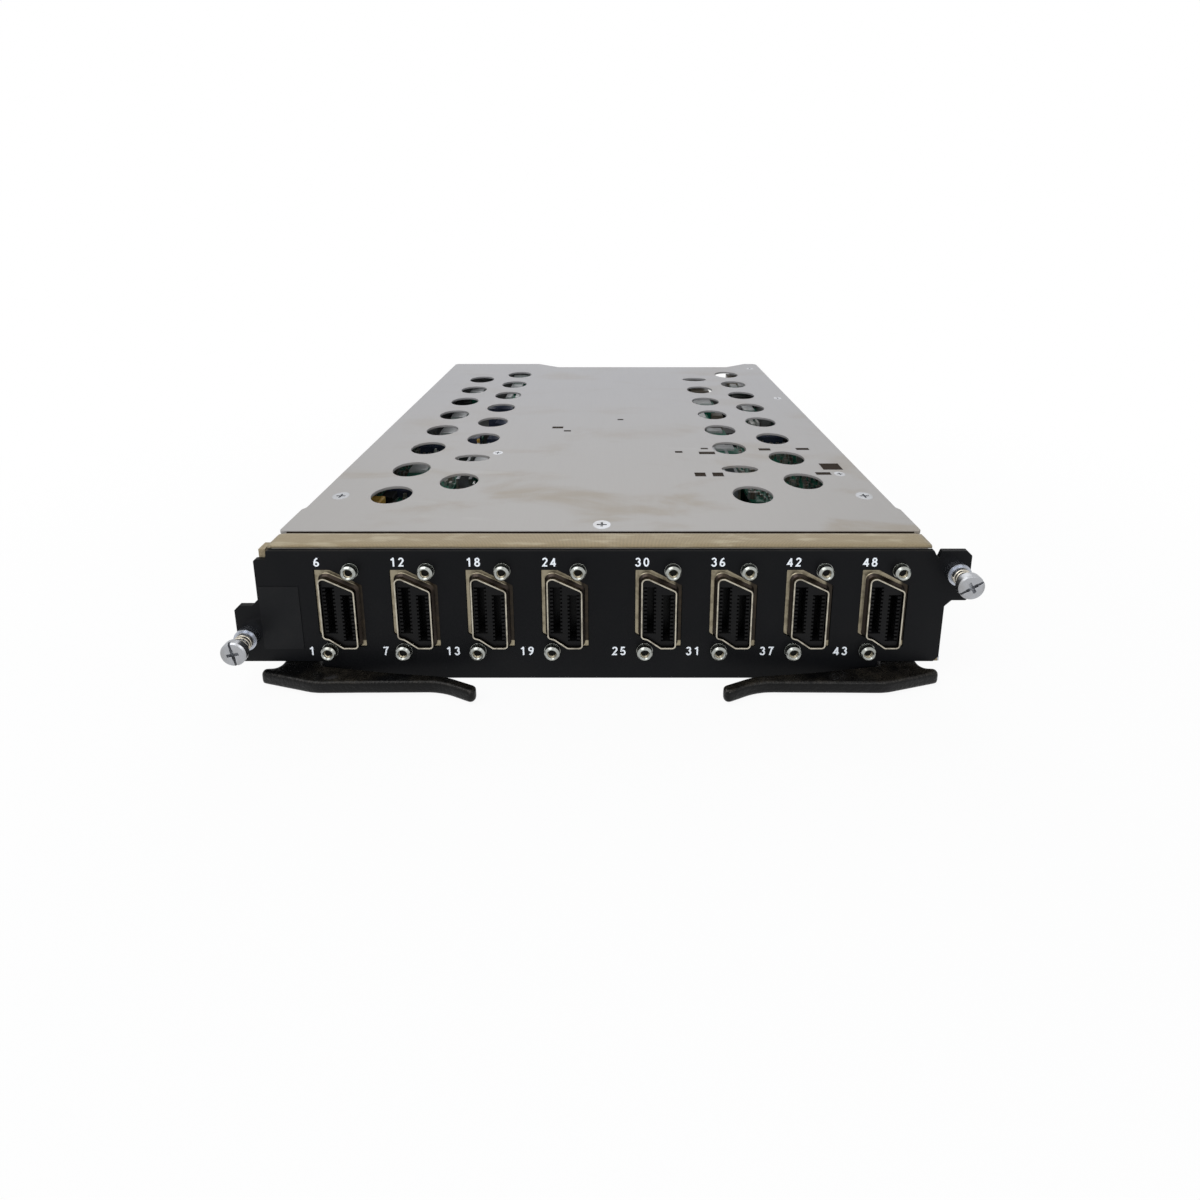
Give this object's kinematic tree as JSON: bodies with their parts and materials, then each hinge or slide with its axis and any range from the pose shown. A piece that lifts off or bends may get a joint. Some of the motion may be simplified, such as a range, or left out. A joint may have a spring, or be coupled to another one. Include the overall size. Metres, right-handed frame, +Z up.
{
  "type": "switch line card",
  "caption": "Plug-in network line card: black faceplate with slanted shielded ports, captive screws and ejector levers, on a shallow vented sheet-metal case.",
  "frame": {"origin": "back face of the faceplate, on the card's centre line at half of one rack unit's height", "axes": "+X right seen from the front, +Y into the slot, +Z up"},
  "size_m": [0.2231, 0.2548, 0.0447],
  "materials": {
    "black_paint": "satin black powder paint",
    "label_film": "matt black film",
    "plated_sheet": "dull warm grey plating",
    "screw_plating": "bright zinc plating",
    "port_plating": "warm nickel plating",
    "gasket_fabric": "conductive woven fabric",
    "port_plastic": "moulded black plastic",
    "board_mask": "dark green solder mask",
    "plug_plastic": "moulded black plastic",
    "guide_zinc": "die cast zinc",
    "sink_aluminium": "plain extruded aluminium",
    "chip_plastic": "black chip moulding",
    "transformer_plastic": "blue black moulding",
    "module_metal": "grey metal can",
    "capacitor_orange": "orange moulding",
    "lever_paint": "black pebbled paint"
  },
  "bodies": {
    "card": {"faceplate": "black_paint", "blank_label": "label_film", "bottom_tray": "plated_sheet", "top_cover": "plated_sheet", "cover_screws": "screw_plating", "cover_screws_small": "screw_plating", "support_posts": "screw_plating", "circuit_board": "board_mask", "top_gasket": "gasket_fabric", "side_gasket_left": "gasket_fabric", "side_gasket_right": "gasket_fabric", "jack_sockets": "screw_plating", "power_plug": "plug_plastic", "line_transformers": "transformer_plastic", "memory_chips": "chip_plastic", "power_modules": "module_metal", "inductors": "chip_plastic", "tantalum_capacitors": "capacitor_orange", "can_capacitors": "module_metal", "film_capacitors": "capacitor_orange", "port_shell_1": "port_plating", "port_block_1": "port_plastic", "port_shell_2": "port_plating", "port_block_2": "port_plastic", "port_shell_3": "port_plating", "port_block_3": "port_plastic", "port_shell_4": "port_plating", "port_block_4": "port_plastic", "port_shell_5": "port_plating", "port_block_5": "port_plastic", "port_shell_6": "port_plating", "port_block_6": "port_plastic", "port_shell_7": "port_plating", "port_block_7": "port_plastic", "port_shell_8": "port_plating", "port_block_8": "port_plastic", "signal_plug_1": "plug_plastic", "signal_plug_2": "plug_plastic", "signal_plug_3": "plug_plastic", "switch_chip_1": "chip_plastic", "heat_sink_1": "sink_aluminium", "switch_chip_2": "chip_plastic", "heat_sink_2": "sink_aluminium", "screw_spring_left": "screw_plating", "screw_ferrule_left": "screw_plating", "lever_bracket_left": "screw_plating", "lever_pin_left": "screw_plating", "guide_block_left": "guide_zinc", "screw_spring_right": "screw_plating", "screw_ferrule_right": "screw_plating", "lever_bracket_right": "screw_plating", "lever_pin_right": "screw_plating", "guide_block_right": "guide_zinc"},
    "ejector_left": {"ejector_lever_left": "lever_paint"},
    "screw_collar_left": {"screw_washer_left": "screw_plating"},
    "captive_screw_left": {"panel_screw_left": "screw_plating"},
    "ejector_right": {"ejector_lever_right": "lever_paint"},
    "screw_collar_right": {"screw_washer_right": "screw_plating"},
    "captive_screw_right": {"panel_screw_right": "screw_plating"}
  },
  "joints": [
    {"name": "lever_left_turn", "type": "hinge", "parent": "card", "child": "ejector_left", "pos_m": [-0.0935, 0.0062, -0.01915], "axis": [0, 0, -1], "range_deg": [0, 70]},
    {"name": "screw_left_push", "type": "slide", "parent": "card", "child": "screw_collar_left", "axis": [0, 1, 0], "range_m": [0, 0.0015], "stiffness_N_per_m": 400, "springref_m": -0.002, "deforming": ["screw_spring_left"]},
    {"name": "screw_left_turn", "type": "hinge", "parent": "screw_collar_left", "child": "captive_screw_left", "pos_m": [-0.1079, 0, -0.0074], "axis": [0, 1, 0], "continuous": true},
    {"name": "lever_right_turn", "type": "hinge", "parent": "card", "child": "ejector_right", "pos_m": [0.0935, 0.0062, -0.01915], "axis": [0, 0, 1], "range_deg": [0, 70]},
    {"name": "screw_right_push", "type": "slide", "parent": "card", "child": "screw_collar_right", "axis": [0, 1, 0], "range_m": [0, 0.0015], "stiffness_N_per_m": 400, "springref_m": -0.002, "deforming": ["screw_spring_right"]},
    {"name": "screw_right_turn", "type": "hinge", "parent": "screw_collar_right", "child": "captive_screw_right", "pos_m": [0.1071, 0, 0.0144], "axis": [0, 1, 0], "continuous": true}
  ]
}
